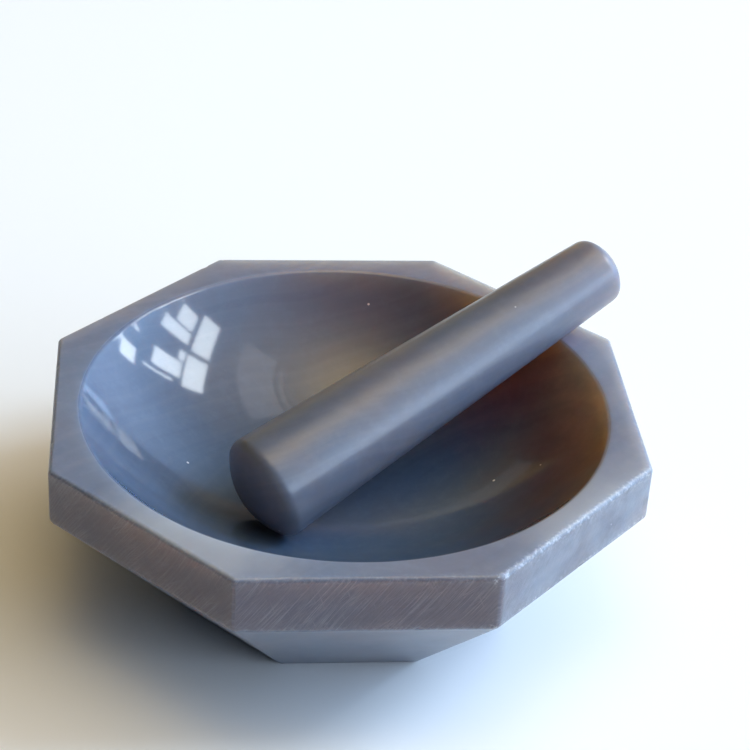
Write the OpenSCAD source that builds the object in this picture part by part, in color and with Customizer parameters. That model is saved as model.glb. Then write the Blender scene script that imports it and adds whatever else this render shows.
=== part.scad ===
// Octagonal laboratory mortar and its loose pestle, each cut from one block of agate.
// Units are millimetres. The origin is the centre of the mortar's base, and +Z is up.
// One flat of the octagon faces -Y. The pestle stands with its foot in the bowl and its
// shaft leaning on the bowl's lip.

/* [Mortar] */
// Width across the flats of the octagonal body
across_flats = 100; // [96:0.5:120]
// Height from the base to the rim
height = 35; // [30:0.5:45]
// Height of the upright side band below the rim
band_h = 10; // [5:0.5:16]
// Width across the flats of the base
base_flats = 56; // [50:0.5:70]
// Width of the small bevel along the outer edge of the rim
rim_bevel = 0.6; // [0.2:0.1:1.2]
// Width of the small bevel along the edge of the base
base_bevel = 0.5; // [0.2:0.1:1.2]

/* [Bowl] */
// Diameter of the bowl's sphere where it would meet the rim
mouth_d = 91; // [86:0.5:92]
// Depth of the bowl at its centre
bowl_depth = 22; // [19:0.5:24]
// Radius of the rounded lip between bowl and rim
lip_r = 1.2; // [0.8:0.1:2]

/* [Pestle] */
// Length of the pestle from tip to tip
pestle_len = 83; // [75:0.5:95]
// Diameter of the shaft at the grinding foot
foot_d = 19; // [16:0.5:22]
// Radius of the foot's domed end
foot_dome_r = 14; // [12:0.5:24]
// Radius that blends the foot's dome into the shaft
foot_edge_r = 2.5; // [1.5:0.1:4]
// Diameter of the shaft at the upper end
top_d = 12.7; // [10:0.1:15]
// Radius of the upper end's dome
top_dome_r = 8.6; // [8:0.1:14]
// Radius that blends the upper dome into the shaft
top_edge_r = 2.2; // [1:0.1:3]

/* [Rest pose] */
// Direction in which the pestle leans, turned from +X towards +Y
lean_dir = 32.3; // [0:0.1:360]
// Angle of the pestle's axis above the horizontal
lean_tilt = 15.8; // [14:0.1:19]
// Sideways distance of the pestle's axis from the bowl's axis
lean_offset = -1.5; // [-3:0.1:3]
// Clearance left where the pestle touches the bowl and the lip
contact_gap = 0.12; // [0.05:0.01:0.3]

/* [Hidden] */
$fn = 96;
SIDES = 8;
ARC_STEP = 3; // degrees between the points that draw the pestle's round ends
PAST = 5; // how far the bowl's cutter runs past the rim
MERGE = 0.001; // how far the lip's arc runs past the rim and into the bowl, to cross them cleanly

bowl_r = (pow(mouth_d / 2, 2) + pow(bowl_depth, 2)) / (2 * bowl_depth);
bowl_centre_z = height - bowl_depth + bowl_r;

// The lip's arc touches the rim's plane and, from outside, the bowl's sphere.
lip_z = height - lip_r + MERGE;
lip_centre_r = sqrt(pow(bowl_r + lip_r - MERGE, 2) - pow(bowl_centre_z - lip_z, 2));
lip_on_bowl = [
    lip_centre_r * bowl_r / (bowl_r + lip_r),
    bowl_centre_z + (lip_z - bowl_centre_z) * bowl_r / (bowl_r + lip_r)
];

// The pestle's outline, as [distance from its axis, distance from the foot's tip].
function blend_height(dome_r, edge_r, r) = dome_r - sqrt(pow(dome_r - edge_r, 2) - pow(r - edge_r, 2));
foot_blend = [foot_d / 2 - foot_edge_r, blend_height(foot_dome_r, foot_edge_r, foot_d / 2)];
top_blend = [top_d / 2 - top_edge_r, pestle_len - blend_height(top_dome_r, top_edge_r, top_d / 2)];
// The shaft's side is the straight line that touches both blends: its direction is taper
// away from the axis, and its outward normal is side_normal.
blend_span = top_blend - foot_blend;
taper = atan2(-blend_span[0], blend_span[1]) + asin((foot_edge_r - top_edge_r) / norm(blend_span));
side_normal = [cos(taper), sin(taper)];
side_reach = foot_blend * side_normal + foot_edge_r; // the side line's distance from the foot's tip

// The rest pose is solved in the upright plane through the pestle's axis, as [outwards, up].
axis_dir = [cos(lean_tilt), sin(lean_tilt)];
up_dir = [-sin(lean_tilt), cos(lean_tilt)];
under_normal = side_normal[1] * axis_dir - side_normal[0] * up_dir;
under_dir = [-under_normal[1], under_normal[0]];
// The underside of the shaft lies on the lip ...
lip_reach = [lip_centre_r, lip_z] * under_normal - side_reach - lip_r - contact_gap;
// ... and the foot slides down that line until its blend meets the bowl.
foot_arm = foot_blend[1] * axis_dir - foot_blend[0] * up_dir;
from_centre = lip_reach * under_normal + foot_arm - [0, bowl_centre_z];
slide_b = from_centre * under_dir;
slide_c = from_centre * from_centre - pow(bowl_r - foot_edge_r - contact_gap, 2);
tip = lip_reach * under_normal - (slide_b + sqrt(slide_b * slide_b - slide_c)) * under_dir;

// Half of the block's outline from flat to flat, going up the outside from the base.
undercut = atan2(height - band_h, (across_flats - base_flats) / 2);
outline = [
    [base_flats / 2 - base_bevel, 0],
    [base_flats / 2 + base_bevel * cos(undercut), base_bevel * sin(undercut)],
    [across_flats / 2, height - band_h],
    [across_flats / 2, height - rim_bevel],
    [across_flats / 2 - rim_bevel, height]
];

// The stone's outside: where prisms of the one outline, turned to each pair of flats, meet.
module block() {
    mirrored = [for (i = [len(outline) - 1:-1:0]) [-outline[i][0], outline[i][1]]];
    intersection_for(i = [0:SIDES / 2 - 1])
        rotate([90, 0, i * 360 / SIDES])
            linear_extrude(2 * across_flats, center = true)
                polygon(concat(outline, mirrored));
}

module bowl_cutter() {
    translate([0, 0, bowl_centre_z]) sphere(r = bowl_r, $fn = 180);
    rotate_extrude($fn = 180)
        difference() {
            polygon([
                [lip_centre_r, lip_z],
                lip_on_bowl,
                [lip_on_bowl[0], height + PAST],
                [lip_centre_r, height + PAST]
            ]);
            translate([lip_centre_r, lip_z]) circle(r = lip_r);
        }
}

module mortar() {
    color([0.44, 0.45, 0.51])
    difference() {
        block();
        bowl_cutter();
    }
}

// Points along an arc of the pestle's outline, between two angles from the outward direction.
function arc(centre, r, from_angle, to_angle) =
    let (steps = ceil(abs(to_angle - from_angle) / ARC_STEP))
    [for (i = [0:steps])
        let (a = from_angle * (1 - i / steps) + to_angle * i / steps)
        centre + r * [cos(a), sin(a)]];

// The foot's dome, its blend, the straight tapered side, the top's blend and the top's dome.
module pestle_outline() {
    foot_dome_centre = [0, foot_dome_r];
    top_dome_centre = [0, pestle_len - top_dome_r];
    foot_corner = atan2(foot_blend[1] - foot_dome_centre[1], foot_blend[0]);
    top_corner = atan2(top_blend[1] - top_dome_centre[1], top_blend[0]);
    polygon(concat(
        arc(foot_dome_centre, foot_dome_r, -90, foot_corner),
        arc(foot_blend, foot_edge_r, foot_corner, taper),
        arc(top_blend, top_edge_r, taper, top_corner),
        arc(top_dome_centre, top_dome_r, top_corner, 90)
    ));
}

module pestle() {
    color([0.48, 0.5, 0.56])
    rotate(lean_dir)
        translate([tip[0], lean_offset, tip[1]])
            rotate([0, 90 - lean_tilt, 0])
                rotate_extrude() pestle_outline();
}

mortar();
pestle();
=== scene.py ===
import math
import random

import bpy
import numpy as np
from mathutils import Matrix, Vector, noise


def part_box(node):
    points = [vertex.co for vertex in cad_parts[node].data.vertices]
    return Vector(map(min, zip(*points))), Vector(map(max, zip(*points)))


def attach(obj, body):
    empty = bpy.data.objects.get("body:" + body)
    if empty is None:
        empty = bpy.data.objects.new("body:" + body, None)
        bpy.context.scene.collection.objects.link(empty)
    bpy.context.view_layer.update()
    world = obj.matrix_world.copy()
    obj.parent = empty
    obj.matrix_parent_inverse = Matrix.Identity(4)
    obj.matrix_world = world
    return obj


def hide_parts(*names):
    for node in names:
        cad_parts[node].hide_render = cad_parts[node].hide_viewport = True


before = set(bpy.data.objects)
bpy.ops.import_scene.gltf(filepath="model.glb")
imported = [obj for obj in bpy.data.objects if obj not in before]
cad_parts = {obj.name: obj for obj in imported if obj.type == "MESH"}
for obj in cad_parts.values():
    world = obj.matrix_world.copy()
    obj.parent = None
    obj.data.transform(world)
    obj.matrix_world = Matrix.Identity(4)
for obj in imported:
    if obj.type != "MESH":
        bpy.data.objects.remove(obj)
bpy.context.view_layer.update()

# ---------------------------------------------------------------- sizes, in metres

MM = 0.001
mortar_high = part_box("mortar")[1]
HALF = mortar_high.x                    # from the mortar's axis to a flat of the octagon
TOP = mortar_high.z                     # the rim's height
BAND_LOW = TOP - 0.2 * HALF             # where the upright band meets the sloping lower faces
BASE_HALF = 0.56 * HALF
MOUTH_R = 0.91 * HALF
BOWL_DEPTH = 0.44 * HALF
LIP_R = 1.2 * MM
BOWL_R = (MOUTH_R ** 2 + BOWL_DEPTH ** 2) / (2 * BOWL_DEPTH)
BOWL_CENTRE_Z = TOP - BOWL_DEPTH + BOWL_R
LIP_Z = TOP - LIP_R
LIP_CENTRE_R = math.sqrt((BOWL_R + LIP_R) ** 2 - (BOWL_CENTRE_Z - LIP_Z) ** 2)

SIDES = 8
SIDE_STEPS = 74                         # steps along the straight part of one side
CORNER_STEPS = 6                        # steps round one upright corner
EDGE_STEPS = 5                          # steps round one bevelled edge
LIP_STEPS = 8                           # steps down the lip's arc
BOWL_STEPS = 60                         # steps from the lip to the bowl's lowest point
SEED = 11                               # of the chips' places

# The outside of the mortar as (distance of a flat from the axis, height), from the base to the rim.
OUTER_CORNERS = [(4 * MM, 0), (BASE_HALF, 0), (HALF, BAND_LOW), (HALF, TOP), (HALF - 2.2 * MM, TOP)]
EDGE_RADII = [1.0 * MM, 1.3 * MM, 0.8 * MM]
UPRIGHT_EDGE_R = 1.1 * MM
LONGEST_STEP, FINEST_STEP = 1.6 * MM, 0.25 * MM
RIM_SHARES = (0.2, 0.45, 0.7, 0.88, 0.97, 1.0)      # rings on the rim, from its outer edge to the lip
SIDE_SPACING = 0.2                      # between two sides' scratches, in metres, so that none repeats
HALF_SIDE = 0.0207                      # half a side's length, in metres
WORN_CHIPS, PLAIN_CHIPS, LOW_CHIPS = 12, 4, 2       # chips on a side: rim's worn side, others, below

LEAN = math.radians(32.3)               # the pestle's direction, from +X towards +Y
TILT = math.radians(15.8)               # its axis above the horizontal
FOOT_R, FOOT_DOME_R, FOOT_EDGE_R = 9.5 * MM, 14 * MM, 2.5 * MM
TOP_R, TOP_DOME_R, TOP_EDGE_R = 6.35 * MM, 8.6 * MM, 2.2 * MM
PESTLE_AROUND = 192
SHAFT_STEPS = 110


# ---------------------------------------------------------------- meshes

def smooth_noise(points, size, seed):
    """Fractal noise between 0 and 1 at each point, with features of about that size."""
    offset = Vector((seed * 3.1, seed * 7.7, seed * 1.3))
    return np.array([
        0.5 + 0.5 * noise.fractal(Vector(p) / size + offset, 1.0, 2.0, 3) for p in points
    ]).clip(0, 1)


def make_piece(name, points, faces, **attributes):
    """A smooth-shaded mesh object with named float attributes on its points."""
    mesh = bpy.data.meshes.new(name)
    mesh.from_pydata([tuple(p) for p in points], [], faces)
    mesh.validate()
    mesh.shade_smooth()
    for key, values in attributes.items():
        layer = mesh.attributes.new(key, "FLOAT", "POINT")
        layer.data.foreach_set("value", np.asarray(values, np.float32))
    piece = bpy.data.objects.new(name, mesh)
    bpy.context.scene.collection.objects.link(piece)
    keep = piece.modifiers.new("even_shading", "WEIGHTED_NORMAL")
    keep.keep_sharp = True
    return piece


def rounded_path(corners, radii, arc_steps):
    """Points along a polyline whose inner corners are arcs of the given radii."""
    path = [np.array(corners[0], float)]
    for before, corner, after, r in zip(corners, corners[1:], corners[2:], radii):
        before, corner, after = (np.array(p, float) for p in (before, corner, after))
        back = (before - corner) / np.linalg.norm(before - corner)
        on = (after - corner) / np.linalg.norm(after - corner)
        half_angle = math.acos(np.clip(back @ on, -1, 1)) / 2
        trim = r / math.tan(half_angle)
        middle = back + on
        centre = corner + middle / np.linalg.norm(middle) * r / math.sin(half_angle)
        start, end = corner + back * trim - centre, corner + on * trim - centre
        sweep = math.acos(np.clip(start @ end / r ** 2, -1, 1))
        for i in range(arc_steps + 1):
            t = i / arc_steps
            path.append(centre + (start * math.sin((1 - t) * sweep) + end * math.sin(t * sweep))
                        / math.sin(sweep))
    path.append(np.array(corners[-1], float))
    return path


def fill_stretches(path, longest, fine):
    """Adds points to a path so that no step is over longest, with fine steps next to each end."""
    filled = [path[0]]
    for a, b in zip(path, path[1:]):
        length = np.linalg.norm(b - a)
        if length > 4 * fine:
            inner = np.linspace(2 * fine, length - 2 * fine, max(2, round(length / longest)))
            stops = [0.5 * fine, *inner, length - 0.5 * fine]
            filled += [a + (b - a) * s / length for s in stops]
        filled.append(b)
    return filled


def octagon_layout():
    """For each point round the octagon: its side's or corner's turn and its place there."""
    layout = []
    for side in range(SIDES):
        turn = side * 2 * math.pi / SIDES
        layout += [(turn, 0.0, 2 * i / SIDE_STEPS - 1) for i in range(SIDE_STEPS)]
        for i in range(CORNER_STEPS):
            layout.append((turn, i / CORNER_STEPS, 1.0))
    return layout


LAYOUT = octagon_layout()


def octagon(flat, corner_r):
    """Points of an octagon with rounded corners whose flats are flat away from the axis."""
    half_turn = math.pi / SIDES
    straight = (flat - corner_r) * math.tan(half_turn)
    points = []
    for turn, bend, place in LAYOUT:
        angle = turn + bend * 2 * half_turn
        hub = turn + half_turn
        if bend:
            reach = (flat - corner_r) / math.cos(half_turn)
            x = reach * math.cos(hub) + corner_r * math.cos(angle)
            y = reach * math.sin(hub) + corner_r * math.sin(angle)
        else:
            x = flat * math.cos(turn) - straight * place * math.sin(turn)
            y = flat * math.sin(turn) + straight * place * math.cos(turn)
        points.append((x, y))
    return np.array(points)


def chip_edges(points, rng):
    """Presses small shell-shaped chips into the rim's outer edge and the band's lower edge."""
    spots = []
    for side in range(SIDES):
        for _ in range(WORN_CHIPS if side == SIDES - 1 else PLAIN_CHIPS):
            spots.append((side, rng.uniform(-0.97, 0.97), TOP, rng.uniform(0.9, 2.4) * MM,
                          rng.uniform(0.32, 0.55) * MM))
        for _ in range(LOW_CHIPS):
            spots.append((side, rng.uniform(-0.97, 0.97), BAND_LOW, rng.uniform(0.9, 2.0) * MM,
                          rng.uniform(0.22, 0.4) * MM))
    for side, place, z, r, depth in spots:
        turn = side * 2 * math.pi / SIDES
        outwards = np.array([math.cos(turn), math.sin(turn), 0])
        sideways = np.array([-math.sin(turn), math.cos(turn), 0])
        upwards = np.array([0, 0, 1.0 if z == TOP else -0.35])
        edge = outwards * HALF + sideways * place * HALF * math.tan(math.pi / SIDES)
        edge[2] = z
        away = (outwards + upwards) / np.linalg.norm(outwards + upwards)
        centre = edge + away * (r - depth)
        gap = points - centre
        distance = np.linalg.norm(gap, axis=1)
        inside = distance < r
        points[inside] = centre + gap[inside] / distance[inside, None] * r
    return points


def ring_faces(first, rings, count):
    """Quads between rings of count points, which follow each other from the point first."""
    return [
        (row + j, row + (j + 1) % count, row + count + (j + 1) % count, row + count + j)
        for row in range(first, first + (rings - 1) * count, count) for j in range(count)
    ]


def outer_marks(flat, z):
    """What a point of the outside is: ground band, satin rim, lower face, and near an edge."""
    above_band_edge = np.clip((z - BAND_LOW) / (0.6 * MM) + 0.7, 0, 1)
    from_edge = min(abs(z - TOP) + (HALF - flat), abs(z - BAND_LOW) * 1.4)
    return {
        "ground": above_band_edge * np.clip((TOP - z) / (0.5 * MM), 0, 1),
        "satin": np.clip(1 - (TOP - z) / (0.5 * MM), 0, 1),
        "lower": np.clip((BAND_LOW - z) / (0.6 * MM), 0, 1),
        "edge": np.clip(1.6 - from_edge / MM, 0, 1),
    }


RIM_MARKS = {"ground": 0.0, "satin": 1.0, "lower": 0.0, "edge": 0.0}


def outer_rings():
    """The rings of points from the base to the lip, what each ring is, and the points' angles."""
    corners = rounded_path(OUTER_CORNERS, EDGE_RADII, EDGE_STEPS)
    rings, marks = [], []
    for flat, z in fill_stretches(corners, LONGEST_STEP, FINEST_STEP):
        ring = octagon(flat, min(0.3 * flat, UPRIGHT_EDGE_R))
        rings.append(np.column_stack([ring, np.full(len(ring), z)]))
        marks.append(outer_marks(flat, z))
    outer_rim = rings[-1][:, :2]
    angles = np.arctan2(outer_rim[:, 1], outer_rim[:, 0])
    lip_circle = LIP_CENTRE_R * np.column_stack([np.cos(angles), np.sin(angles)])
    for share in RIM_SHARES:
        ring = outer_rim * (1 - share) + lip_circle * share
        rings.append(np.column_stack([ring, np.full(len(ring), TOP)]))
        marks.append(RIM_MARKS)
    return rings, marks, angles


def inner_profile():
    """(radius, height) down the lip's arc and the bowl, without the bowl's lowest point."""
    lip_turn = math.atan2(BOWL_CENTRE_Z - LIP_Z, -LIP_CENTRE_R) - math.pi / 2
    profile = []
    for i in range(1, LIP_STEPS + 1):
        a = math.pi / 2 + lip_turn * i / LIP_STEPS
        profile.append((LIP_CENTRE_R + LIP_R * math.cos(a), LIP_Z + LIP_R * math.sin(a)))
    widest = math.asin(profile[-1][0] / BOWL_R)
    for i in range(1, BOWL_STEPS):
        b = widest * (1 - i / BOWL_STEPS)
        profile.append((BOWL_R * math.sin(b), BOWL_CENTRE_Z - BOWL_R * math.cos(b)))
    return profile


def wear_outside(skin):
    """Ground by hand: the sides wander inwards by a few hundredths of a millimetre, and are chipped."""
    wander = smooth_noise(skin, 14 * MM, 1) * 0.07 * MM
    wander[skin[:, 2] < BAND_LOW] *= 0.4
    spread = np.linalg.norm(skin[:, :2], axis=1).clip(1e-6)
    on_side = (skin[:, 2] > 0.2 * MM) & (skin[:, 2] < TOP - 0.2 * MM)
    inward = -skin[:, :2] / spread[:, None] * wander[:, None]
    skin[on_side, :2] += inward[on_side]
    return chip_edges(skin, random.Random(SEED))


def mortar_piece():
    """The whole stone: base, sloping faces, band, rim, lip and bowl, as one closed skin."""
    rings, marks, angles = outer_rings()
    skin = wear_outside(np.vstack(rings))
    profile = inner_profile()
    inner = [(r * math.cos(a), r * math.sin(a), z) for r, z in profile for a in angles[::2]]
    base_middle = len(skin)
    first_inner = base_middle + 1
    bowl_bottom = first_inner + len(inner)
    points = np.vstack([skin, [[0, 0, 0]], inner, [[0, 0, TOP - BOWL_DEPTH]]])

    count = len(LAYOUT)
    faces = ring_faces(0, len(rings), count)
    faces += [((j + 1) % count, j, base_middle) for j in range(count)]
    # The lip and the bowl have half as many points round, so one step there meets two here.
    half_count = count // 2
    last_outer = (len(rings) - 1) * count
    for j in range(half_count):
        faces.append((last_outer + 2 * j, last_outer + 2 * j + 1, last_outer + (2 * j + 2) % count,
                      first_inner + (j + 1) % half_count, first_inner + j))
    faces += ring_faces(first_inner, len(profile), half_count)
    last_inner = first_inner + (len(profile) - 1) * half_count
    faces += [(last_inner + j, last_inner + (j + 1) % half_count, bowl_bottom) for j in range(half_count)]

    rest = np.zeros(len(points) - len(skin))
    layers = {key: np.concatenate([np.repeat([m[key] for m in marks], count), rest]) for key in RIM_MARKS}
    layers["satin"][first_inner:] = np.clip((points[first_inner:, 2] - LIP_Z) / LIP_R, 0, 1) ** 6
    along = [math.floor(i / (SIDE_STEPS + CORNER_STEPS)) * SIDE_SPACING + place * HALF_SIDE
             for i, (_, _, place) in enumerate(LAYOUT)]
    layers["along"] = np.concatenate([np.tile(along, len(rings)), rest])
    return make_piece("mortar_stone", points, faces, **layers)


def pestle_profile():
    """(radius, distance from the foot's tip) from tip to tip: dome, blend, taper, blend, dome."""
    length = pestle_length
    def blend_height(dome_r, edge_r, r):
        return dome_r - math.sqrt((dome_r - edge_r) ** 2 - (r - edge_r) ** 2)
    foot = np.array([FOOT_R - FOOT_EDGE_R, blend_height(FOOT_DOME_R, FOOT_EDGE_R, FOOT_R)])
    top = np.array([TOP_R - TOP_EDGE_R, length - blend_height(TOP_DOME_R, TOP_EDGE_R, TOP_R)])
    span = top - foot
    taper = math.atan2(-span[0], span[1]) + math.asin((FOOT_EDGE_R - TOP_EDGE_R) / np.linalg.norm(span))
    foot_corner = math.atan2(foot[1] - FOOT_DOME_R, foot[0])
    top_corner = math.atan2(top[1] - (length - TOP_DOME_R), top[0])
    def arc(centre, r, a0, a1, steps):
        return [np.array(centre) + r * np.array([math.cos(a), math.sin(a)])
                for a in np.linspace(a0, a1, steps + 1)]
    first = arc((0, FOOT_DOME_R), FOOT_DOME_R, -math.pi / 2, foot_corner, 18)
    first += arc(foot, FOOT_EDGE_R, foot_corner, taper, 12)[1:]
    last = arc(top, TOP_EDGE_R, taper, top_corner, 10)
    last += arc((0, length - TOP_DOME_R), TOP_DOME_R, top_corner, math.pi / 2, 14)[1:]
    shaft = [first[-1] + (last[0] - first[-1]) * i / SHAFT_STEPS for i in range(1, SHAFT_STEPS)]
    return first + shaft + last


def pestle_axis():
    """The foot's tip, the axis' direction and the length of the CAD pestle."""
    d = np.array([math.cos(TILT) * math.cos(LEAN), math.cos(TILT) * math.sin(LEAN), math.sin(TILT)])
    cad = np.array([v.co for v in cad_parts["pestle"].data.vertices], float)
    reach = cad @ d
    across = cad - reach[:, None] * d
    axis_point = (across.max(0) + across.min(0)) / 2
    return axis_point, d, reach.min(), reach.max()


axis_point, AXIS, tip_reach, top_reach = pestle_axis()
pestle_length = top_reach - tip_reach


def pestle_piece():
    """The whole rod, turned by hand: its skin wanders inwards by a few hundredths of a millimetre."""
    profile = pestle_profile()
    around = PESTLE_AROUND
    side = np.cross([0, 0, 1.0], AXIS)
    side /= np.linalg.norm(side)
    over = np.cross(AXIS, side)
    tip = axis_point + AXIS * tip_reach
    rings = profile[1:-1]
    points, length_along = [], []
    for r, s in rings:
        for j in range(around):
            a = 2 * math.pi * j / around
            points.append(tip + AXIS * s + r * (math.cos(a) * side + math.sin(a) * over))
            length_along.append(s)
    points = np.array(points)
    hub = tip + np.outer(length_along, AXIS)
    wander = smooth_noise(points, 16 * MM, 5) * 0.06 * MM
    gap = points - hub
    points -= gap / np.linalg.norm(gap, axis=1)[:, None].clip(1e-6) * wander[:, None]
    points = np.vstack([points, [tip + AXIS * profile[0][1]], [tip + AXIS * profile[-1][1]]])
    faces = ring_faces(0, len(rings), around)
    foot_tip, top_tip = len(points) - 2, len(points) - 1
    last = (len(rings) - 1) * around
    faces += [((j + 1) % around, j, foot_tip) for j in range(around)]
    faces += [(last + j, last + (j + 1) % around, top_tip) for j in range(around)]
    return make_piece("pestle_stone", points, faces)


# ---------------------------------------------------------------- materials

class Nodes:
    """Builds a node tree: values are set, sockets are linked."""

    def __init__(self, tree):
        self.tree = tree

    def add(self, kind, inputs=(), **settings):
        made = self.tree.nodes.new(kind)
        for key, value in settings.items():
            setattr(made, key, value)
        for key, value in dict(inputs).items():
            if isinstance(value, bpy.types.NodeSocket):
                self.tree.links.new(value, made.inputs[key])
            else:
                made.inputs[key].default_value = value
        return made

    def math(self, operation, *values):
        return self.add("ShaderNodeMath", dict(enumerate(values)), operation=operation).outputs[0]

    def mix(self, share, a, b, blend="MIX"):
        return self.add("ShaderNodeMix", {0: share, 6: a, 7: b}, data_type="RGBA",
                        blend_type=blend, clamp_factor=True).outputs[2]

    def noise(self, vector, scale, detail=3.0, roughness=0.55, distortion=0.0):
        return self.add("ShaderNodeTexNoise", {"Vector": vector, "Scale": scale, "Detail": detail,
                        "Roughness": roughness, "Distortion": distortion}).outputs["Fac"]

    def remap(self, value, low, high, to_low=0.0, to_high=1.0):
        return self.add("ShaderNodeMapRange", {"Value": value, "From Min": low, "From Max": high,
                        "To Min": to_low, "To Max": to_high},
                        interpolation_type="SMOOTHSTEP").outputs[0]

    def attribute(self, name):
        return self.add("ShaderNodeAttribute", attribute_name=name).outputs["Fac"]

    def place(self, vector, turn=(0, 0, 0), scale=(1, 1, 1)):
        inputs = {"Vector": vector, "Rotation": turn, "Scale": scale}
        return self.add("ShaderNodeMapping", inputs).outputs[0]

    def vector_value(self, operation, a, b):
        return self.add("ShaderNodeVectorMath", {0: a, 1: b}, operation=operation).outputs["Value"]

    def dot(self, a, b):
        return self.vector_value("DOT_PRODUCT", a, b)


def new_material(name):
    material = bpy.data.materials.new(name)
    material.use_nodes = True
    material.node_tree.nodes.clear()
    return material, Nodes(material.node_tree)


def stone_body(n, where):
    """Colour shared by both stones: smoky grey with warm clouds, faint growth bands and white specks."""
    cloud = n.noise(where, 26, 4, 0.6, 0.6)
    colour = n.mix(n.remap(cloud, 0.36, 0.68), (0.135, 0.147, 0.18, 1), (0.17, 0.15, 0.162, 1))
    warp = n.noise(where, 14, 2)
    split = n.add("ShaderNodeSeparateXYZ", {"Vector": n.place(where, (0.5, 0.35, 0.4))})
    field = n.math("ADD", split.outputs["Z"], n.math("MULTIPLY", warp, 0.03))
    bands = n.add("ShaderNodeTexNoise", {"W": n.math("MULTIPLY", field, 520), "Scale": 1.0,
                  "Detail": 3.0}, noise_dimensions="1D").outputs["Fac"]
    colour = n.mix(n.remap(bands, 0.42, 0.75, 0, 0.22), colour, (0.23, 0.2, 0.205, 1))
    colour = n.mix(n.remap(bands, 0.5, 0.25, 0, 0.18), colour, (0.1, 0.1, 0.13, 1))
    mottle = n.noise(where, 420, 3, 0.65)
    colour = n.mix(n.remap(mottle, 0.4, 0.75, 0, 0.22), colour, (0.24, 0.23, 0.25, 1))
    cells = n.add("ShaderNodeTexVoronoi", {"Vector": where, "Scale": 260.0}, feature="F1")
    rare = n.remap(n.add("ShaderNodeSeparateColor", {"Color": cells.outputs["Color"]}).outputs[0],
                   0.93, 0.94)
    speck = n.math("MULTIPLY", n.remap(cells.outputs["Distance"], 0.08, 0.04), rare)
    return colour, speck


# Weight, roughness and IOR of the coat. On the mortar it is a faint haze: with it the denoiser always
# reads the stone's own surface, where a bare polish seen at a low angle came out grainy.
HAZE = (0.32, 0.3, 1.2)
POLISH = (0.35, 0.08, 1.4)              # on the pestle

AGATE_IOR = 1.54
# Share of light that enters the stone, and how far red, green and blue go in it. Cycles' random walk
# shortens the scale to about a twelfth, so red goes about 3.7 mm.
INSIDE_SHARE = 0.5
INSIDE_REACH = (1.0, 0.62, 0.34)
INSIDE_SCALE = 0.046


def finish_stone(n, colour, roughness, relief, strength, distance, coat):
    """A milky translucent stone: red light goes furthest through it, so thin walls glow amber."""
    coat_weight, coat_roughness, coat_ior = coat
    bump = n.add("ShaderNodeBump", {"Height": relief, "Strength": strength, "Distance": distance})
    shader = n.add("ShaderNodeBsdfPrincipled", {
        "Base Color": colour, "Roughness": roughness, "IOR": AGATE_IOR,
        "Subsurface Weight": INSIDE_SHARE, "Subsurface Radius": INSIDE_REACH,
        "Subsurface Scale": INSIDE_SCALE, "Normal": bump.outputs[0],
        "Coat Weight": coat_weight, "Coat Roughness": coat_roughness, "Coat IOR": coat_ior})
    n.add("ShaderNodeOutputMaterial", {"Surface": shader.outputs[0]})


def scratch_lines(n, face, slant, length, width, seed):
    """Noise stretched along one direction of the side faces, in metres."""
    slant = math.radians(slant)
    bend = n.math("MULTIPLY", n.noise(face, 45, 1), 0.004)
    along = n.dot(face, (math.cos(slant), math.sin(slant), 0))
    across = n.math("ADD", n.dot(face, (-math.sin(slant), math.cos(slant), 0)), bend)
    along = n.math("MULTIPLY", along, 1 / length)
    across = n.math("MULTIPLY", across, 1 / width)
    lines = n.add("ShaderNodeCombineXYZ", {"X": along, "Y": across, "Z": float(seed)}).outputs[0]
    return n.noise(lines, 1.0, 3, 0.6)


# Tints that multiply the stone's own colour, set by comparing renders with the photograph.
# The bowl's blue is partly the stone's own cast and partly painted cool daylight. The darker, browner
# bowl tint is partly the stone's own colour and partly painted shade on the wall that faces away from the
# daylight.
BOWL_TINT = (0.4, 0.62, 0.88, 1)
BROWN_AND_SHADED_BOWL_TINT = (0.36, 0.36, 0.42, 1)
# Painted light: an amber glow next to the lip on the shaded side, for daylight that comes through the
# thin wall.
PAINTED_LIP_GLOW_TINT = (0.84, 0.85, 0.7, 1)
RIM_TINT = (0.92, 1.12, 1.36, 1)
LOWER_TINT = (0.86, 1.0, 1.11, 1)
BAND_TINT = (0.46, 0.46, 0.56, 1)
# Painted light: the band's face that turns to the daylight is made paler.
LIT_BAND_TINT = (1.0, 1.22, 1.35, 1)
PESTLE_TINT = (0.77, 0.85, 0.97, 1)
# Colours that lie over the stone.
# For the rim's paler patches: a painted highlight on the front left, a lighter patch on the front right.
PALE_PATCH_COLOUR = (0.36, 0.38, 0.42, 1)
SCRATCH_COLOUR = (0.6, 0.61, 0.67, 1)
# Edge frost: partly the chipped edges' own wear and partly a painted highlight, strongest on the face
# turned to the daylight.
FROST_AND_GLINT_COLOUR = (0.62, 0.66, 0.72, 1)
SPECK_COLOUR = (0.7, 0.7, 0.72, 1)

# Paler patches on the front left and the front right of the rim: the middle, and the strength. The front
# left one is a painted highlight, where the lit lip and bowl wall brighten the rim; the front right one
# only makes the rim lighter there.
PALE_RIM_PATCHES = (((-0.5 * HALF, -0.78 * HALF, TOP), 0.65), ((0.72 * HALF, -0.6 * HALF, TOP), 0.5))
# Towards one side the bowl is darker and browner: partly the stone's own colour and partly painted shade
# on the wall there, which faces away from the daylight, with a painted amber glow next to the lip.
# Towards another side the band is palest, painted light where the daylight falls on that face, which is
# also the side with the most chips.
SHADED_WALL_SIDE = (math.cos(math.radians(-5)), math.sin(math.radians(-5)), 0)
LIT_SIDE = (math.cos(math.radians(-45)), math.sin(math.radians(-45)), 0)


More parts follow.
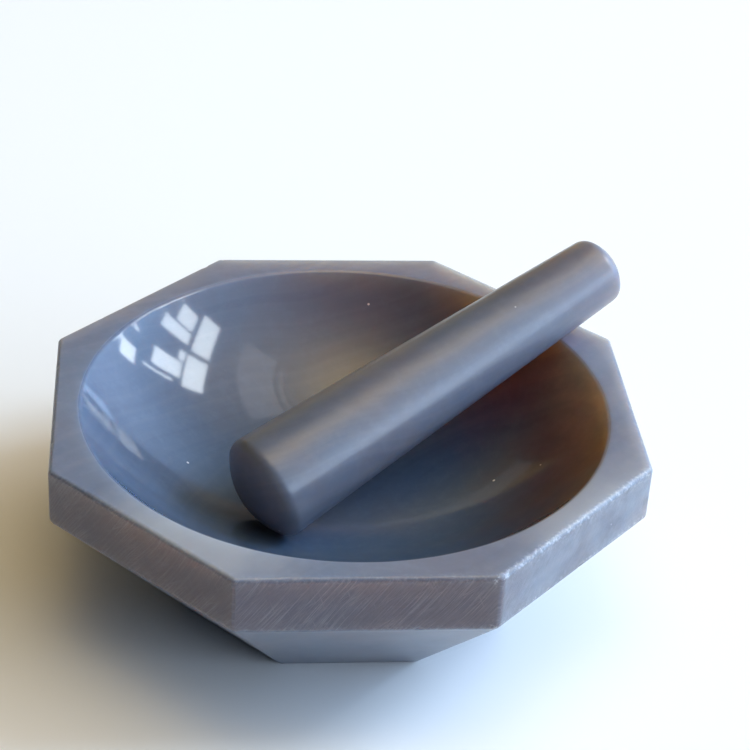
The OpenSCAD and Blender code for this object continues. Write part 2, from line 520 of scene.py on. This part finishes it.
def bowl_tint(n, where, height):
    """Blue over most of the bowl, partly the stone's own cast and partly painted cool daylight; darker
    and browner on the wall that faces away from the daylight, partly the stone's own colour and partly
    painted shade; and a painted amber glow there next to the lip, for daylight through the thin wall.
    """
    # Painted shade, partly the stone's own browner colour: the bowl wall on this side faces away from the
    # daylight.
    warm = n.remap(n.dot(where, SHADED_WALL_SIDE), 0.3 * HALF, 0.8 * HALF)
    near_lip = n.remap(height, TOP - 10 * MM, TOP - 1 * MM)
    tint = n.mix(warm, BOWL_TINT, BROWN_AND_SHADED_BOWL_TINT)
    # Painted light: the amber glow next to the lip on the shaded side.
    return n.mix(n.math("MULTIPLY", warm, near_lip), tint, PAINTED_LIP_GLOW_TINT)


def lit_band_patch(n, where, across, toward_lit_side):
    """The pale patch on the band, painted light on the face that turns to the daylight: it stops at the
    front face's corner and fades at its other end.
    """
    off_front = n.remap(across, 0.3 * MM - HALF, 0.9 * MM - HALF)
    patch = n.math("MULTIPLY", n.remap(toward_lit_side, 0.78 * HALF, 0.99 * HALF), off_front)
    return n.math("MULTIPLY", patch, n.remap(n.noise(where, 150, 3), 0.35, 0.62, 0.55, 1))


# Lightens the rim round each patch's middle: a painted highlight on the front left, and a plain
# lightening on the front right.
def add_pale_patches(n, where, satin, colour):
    for middle, strength in PALE_RIM_PATCHES:
        reach = n.vector_value("DISTANCE", where, middle)
        reach = n.math("ADD", reach, n.math("MULTIPLY", n.noise(where, 90, 3), 0.012))
        pale = n.math("MULTIPLY", n.remap(reach, 0.028, 0.01, 0, strength), satin)
        colour = n.mix(pale, colour, PALE_PATCH_COLOUR)
    return colour


def band_scratches(n, where, face, ground):
    """Three directions of fine grinding marks, stronger in some patches."""
    fine = n.remap(scratch_lines(n, face, 56, 0.011, 0.00024, 1), 0.42, 0.74)
    crossing = n.remap(scratch_lines(n, face, 38, 0.008, 0.00026, 7), 0.5, 0.76, 0, 0.8)
    steep = n.remap(scratch_lines(n, face, 112, 0.006, 0.0003, 13), 0.56, 0.78, 0, 0.7)
    marks = n.math("MAXIMUM", n.math("MAXIMUM", fine, crossing), steep)
    patchy = n.remap(n.noise(where, 120, 3), 0.3, 0.7, 0.2, 1)
    return n.math("MULTIPLY", n.math("MULTIPLY", marks, patchy), ground)


def mortar_roughness(n, soft, marks, satin, lower, ground):
    """Polished in the bowl, satin on the rim and the lower faces, matt on the ground band."""
    roughness = n.math("ADD", 0.05, n.math("MULTIPLY", soft, 0.04))
    satin_gloss = n.math("ADD", 0.29, n.math("MULTIPLY", soft, 0.1))
    ground_gloss = n.math("ADD", 0.42, n.math("MULTIPLY", marks, 0.2))
    for mask, gloss in ((n.math("MAXIMUM", satin, lower), satin_gloss), (ground, ground_gloss)):
        change = n.math("MULTIPLY", mask, n.math("SUBTRACT", gloss, roughness))
        roughness = n.math("ADD", roughness, change)
    return roughness


def mortar_material():
    material, n = new_material("mortar_agate")
    where = n.add("ShaderNodeTexCoord").outputs["Object"]
    colour, speck = stone_body(n, where)
    ground, satin, lower, edge = (n.attribute(k) for k in ("ground", "satin", "lower", "edge"))
    split = n.add("ShaderNodeSeparateXYZ", {"Vector": where})
    across, height = split.outputs["Y"], split.outputs["Z"]
    face = n.add("ShaderNodeCombineXYZ", {"X": n.attribute("along"), "Y": height}).outputs[0]
    # Reach towards the band face that turns to the daylight, for its painted light and painted edge
    # highlight.
    toward_lit_side = n.dot(where, LIT_SIDE)

    tint = n.mix(satin, bowl_tint(n, where, height), RIM_TINT)
    tint = n.mix(lower, tint, LOWER_TINT)
    tint = n.mix(ground, tint, BAND_TINT)
    # Painted light: the band's face towards the daylight is made paler.
    lit_patch = n.math("MULTIPLY", lit_band_patch(n, where, across, toward_lit_side), ground)
    tint = n.mix(lit_patch, tint, LIT_BAND_TINT)
    colour = n.mix(1.0, colour, tint, "MULTIPLY")
    # Painted highlight on the rim's front left, and a lighter patch on its front right.
    colour = add_pale_patches(n, where, satin, colour)

    marks = band_scratches(n, where, face, ground)
    nicks = n.remap(n.noise(where, 1400, 3, 0.7), 0.45, 0.7)
    # Pale frost on the chipped edges: partly their own wear and partly a painted highlight, five times
    # stronger on the face turned to the daylight.
    lit_face_edge = n.remap(toward_lit_side, HALF - 1.6 * MM, HALF - 0.6 * MM, 0.2, 1)
    frost_and_glint = n.math("MULTIPLY", n.math("MULTIPLY", edge, nicks), lit_face_edge)
    colour = n.mix(n.math("MULTIPLY", marks, 0.19), colour, SCRATCH_COLOUR)
    colour = n.mix(n.math("MULTIPLY", frost_and_glint, 0.4), colour, FROST_AND_GLINT_COLOUR)
    colour = n.mix(n.math("MULTIPLY", speck, 0.8), colour, SPECK_COLOUR)

    soft = n.noise(where, 160, 4)
    roughness = mortar_roughness(n, soft, marks, satin, lower, ground)
    rough_skin = n.math("ADD", n.math("MULTIPLY", ground, 0.7), n.math("MULTIPLY", frost_and_glint, 0.4))
    grain = n.math("MULTIPLY", n.noise(where, 2400, 2), rough_skin)
    hairlines = n.noise(n.place(where, (0.3, 0.2, 0.7), (300, 6000, 3000)), 1.0, 2)
    hairlines = n.math("MULTIPLY", hairlines, n.math("MULTIPLY", satin, 0.15))
    relief = n.math("ADD", n.math("ADD", marks, grain), hairlines)
    finish_stone(n, colour, roughness, relief, 0.6, 0.06 * MM, HAZE)
    return material


def pestle_material():
    material, n = new_material("pestle_agate")
    where = n.add("ShaderNodeTexCoord").outputs["Object"]
    colour, speck = stone_body(n, where)
    colour = n.mix(1.0, colour, PESTLE_TINT, "MULTIPLY")
    colour = n.mix(n.math("MULTIPLY", speck, 0.7), colour, SPECK_COLOUR)
    soft = n.noise(where, 220, 4)
    roughness = n.math("ADD", 0.3, n.math("MULTIPLY", soft, 0.1))
    finish_stone(n, colour, roughness, soft, 0.2, 0.03 * MM, POLISH)
    return material


# ---------------------------------------------------------------- stage, light and camera

FLOOR_REACH = 4.0
FLOOR_COLOUR = (0.9, 0.9, 0.9, 1)


def floor():
    mesh = bpy.data.meshes.new("floor")
    corners = [(FLOOR_REACH * x, FLOOR_REACH * y, 0) for x, y in ((-1, -1), (1, -1), (1, 1), (-1, 1))]
    mesh.from_pydata(corners, [], [(0, 1, 2, 3)])
    plane = bpy.data.objects.new("floor", mesh)
    bpy.context.scene.collection.objects.link(plane)
    material, n = new_material("pale_floor")
    shader = n.add("ShaderNodeBsdfPrincipled", {"Base Color": FLOOR_COLOUR, "Roughness": 0.6})
    n.add("ShaderNodeOutputMaterial", {"Surface": shader.outputs[0]})
    mesh.materials.append(material)


WINDOW_TURN = math.radians(-4)          # the window's direction from the bowl, from +X towards +Y
WINDOW_DISTANCE = 1.2
WINDOW_COLOUR = (0.85, 1.6, 2.65)
PANE_COLOUR = (1.35, 1.5, 1.6)
PANE_RADIANCE = 5.8
DAYLIGHT_RADIANCE = 3.3
DAYLIGHT_SIZE = (0.6, 0.5)              # the share of the window's distance
# Each pane as shares of the window's distance: sideways from, sideways to, up from, up to.
PANES = {
    "transom_1": (-0.16, 0.19, 0.937, 1.148),
    "transom_2": (0.235, 0.56, 0.92, 1.148),
    "pane_1": (-0.10, 0.045, 0.72, 0.885),
    "pane_2": (0.062, 0.165, 0.63, 0.888),
    "pane_3": (0.235, 0.32, 0.84, 0.9),
    "pane_4": (0.338, 0.49, 0.64, 0.89),
    "pane_5": (0.53, 0.55, 0.58, 0.83),
    "sill_1": (0.475, 0.61, 0.407, 0.516),
    "sill_2": (0.32, 0.345, 0.42, 0.505),
}


def panel(name, centre, size, colour, radiance):
    """A rectangular area light of a given radiance, which faces back along the window's direction."""
    towards = Vector((math.cos(WINDOW_TURN), math.sin(WINDOW_TURN), 0))
    light = bpy.data.lights.new(name, "AREA")
    light.shape = "RECTANGLE"
    light.size, light.size_y = size
    light.color = colour
    light.energy = 4 * radiance * light.size * light.size_y
    lamp = bpy.data.objects.new(name, light)
    lamp.location = centre
    lamp.rotation_mode = "QUATERNION"
    lamp.rotation_quaternion = (-towards).to_track_quat("-Z", "Y")
    bpy.context.scene.collection.objects.link(lamp)
    return lamp


def window():
    """A sky-lit window to the right: panes that show in the gloss, and its daylight, which doesn't."""
    towards = Vector((math.cos(WINDOW_TURN), math.sin(WINDOW_TURN), 0))
    sideways = Vector((-math.sin(WINDOW_TURN), math.cos(WINDOW_TURN), 0))
    for name, (left, right, low, high) in PANES.items():
        middle = towards + sideways * (left + right) / 2 + Vector((0, 0, (low + high) / 2))
        size = ((right - left) * WINDOW_DISTANCE, (high - low) * WINDOW_DISTANCE)
        centre = middle * WINDOW_DISTANCE + Vector((0, 0, TOP))
        panel(name, centre, size, PANE_COLOUR, PANE_RADIANCE)
    size = tuple(share * WINDOW_DISTANCE for share in DAYLIGHT_SIZE)
    centre = (towards + sideways * 0.2 + Vector((0, 0, 0.85))) * WINDOW_DISTANCE
    daylight = panel("daylight", centre, size, WINDOW_COLOUR, DAYLIGHT_RADIANCE)
    daylight.visible_glossy = False


# Soft light from the room: direction in degrees, sharpness, and radiance.
GLOWS = {
    "low_window": (3, 12, 16, (2.3, 4.0, 6.3)),
    "front_window": (-38, 10, 12, (3.8, 4.6, 5.7)),
    "far_window": (38, 14, 16, (1.5, 1.9, 2.7)),
    "window_wall": (15, 52, 12, (1.1, 0.85, 0.5)),
    "high_right": (-30, 55, 12, (0.9, 1.0, 1.1)),
    "ceiling": (0, 90, 20, (3.3, 2.4, 0.95)),
    "back_wall": (100, 15, 12, (0.42, 0.32, 0.12)),
}
# Paler shapes that the polished bowl mirrors: azimuth from, to, elevation from, to, and radiance.
SHAPES = {
    "blind": (-18, 36, 57, 68, (0.85, 0.85, 0.95)),
    "blind_edge": (-14, 40, 69.7, 70.7, (0.85, 0.85, 0.95)),
    "shelf": (84, 122, 16.5, 23.5, (0.1, 0.13, 0.2)),
    "slat_1": (48, 52, -4, 7, (1.0, 1.5, 2.3)),
    "slat_2": (55, 58, -4, 5, (0.7, 1.1, 1.6)),
}
SHAPE_BLUR = 0.6                        # in degrees, at a shape's edges


def room_light():
    """A warm dim room with cool daylight from the right, drawn by direction."""
    world = bpy.data.worlds.new("room")
    bpy.context.scene.world = world
    world.use_nodes = True
    world.node_tree.nodes.clear()
    n = Nodes(world.node_tree)
    direction = n.add("ShaderNodeTexCoord").outputs["Generated"]
    split = n.add("ShaderNodeSeparateXYZ", {"Vector": direction})
    azimuth = n.math("ARCTAN2", split.outputs["Y"], split.outputs["X"])
    elevation = n.math("ARCSINE", split.outputs["Z"])
    colour = None
    for turn, rise, power, radiance in GLOWS.values():
        turn, rise = math.radians(turn), math.radians(rise)
        aim = (math.cos(turn) * math.cos(rise), math.sin(turn) * math.cos(rise), math.sin(rise))
        share = n.math("POWER", n.math("MAXIMUM", n.dot(direction, aim), 0.0), power)
        glow = n.mix(share, (0, 0, 0, 1), (*radiance, 1))
        colour = glow if colour is None else n.mix(1.0, colour, glow, "ADD")
    soft = math.radians(SHAPE_BLUR)
    for left, right, low, high, radiance in SHAPES.values():
        left, right, low, high = (math.radians(v) for v in (left, right, low, high))
        across = n.math("MULTIPLY", n.remap(azimuth, left - soft, left + soft),
                        n.remap(azimuth, right - soft, right + soft, 1, 0))
        upward = n.math("MULTIPLY", n.remap(elevation, low - soft, low + soft),
                        n.remap(elevation, high - soft, high + soft, 1, 0))
        shape = n.mix(n.math("MULTIPLY", across, upward), (0, 0, 0, 1), (*radiance, 1))
        colour = n.mix(1.0, colour, shape, "ADD")
    background = n.add("ShaderNodeBackground", {"Color": colour, "Strength": 1.0})
    n.add("ShaderNodeOutputWorld", {"Surface": background.outputs[0]})


# The photograph's view, solved from the octagon's corners: direction from the aim, roll and lens.
VIEW_TURN, VIEW_RISE, VIEW_ROLL = math.radians(-6.61), math.radians(32.21), 0.0606
VIEW_AIM = Vector((0.1151 * HALF, 0.1660 * HALF, TOP))
VIEW_DISTANCE = 7.566 * HALF
LENS, SENSOR = 103.2, 36.0


def camera():
    """The photograph's view: a long lens, a little left of the front and looking down."""
    back = Vector((math.sin(VIEW_TURN) * math.cos(VIEW_RISE),
                   -math.cos(VIEW_TURN) * math.cos(VIEW_RISE), math.sin(VIEW_RISE)))
    right = Vector((math.cos(VIEW_TURN), math.sin(VIEW_TURN), 0))
    up = back.cross(right)
    right, up = (math.cos(VIEW_ROLL) * right + math.sin(VIEW_ROLL) * up,
                 -math.sin(VIEW_ROLL) * right + math.cos(VIEW_ROLL) * up)
    data = bpy.data.cameras.new("camera")
    data.sensor_width = SENSOR
    data.lens = LENS
    data.clip_start = 0.01
    eye = bpy.data.objects.new("camera", data)
    turn = Matrix((right, up, back)).transposed().to_4x4()
    eye.matrix_world = Matrix.Translation(VIEW_AIM + back * VIEW_DISTANCE) @ turn
    bpy.context.scene.collection.objects.link(eye)
    bpy.context.scene.camera = eye


# ---------------------------------------------------------------- the scene

camera()
floor()
window()
room_light()
bpy.context.scene.view_settings.view_transform = "Standard"

stone = mortar_piece()
stone.data.materials.append(mortar_material())
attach(stone, "mortar")
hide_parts("mortar")

rod = pestle_piece()
rod.data.materials.append(pestle_material())
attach(rod, "pestle")
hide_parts("pestle")
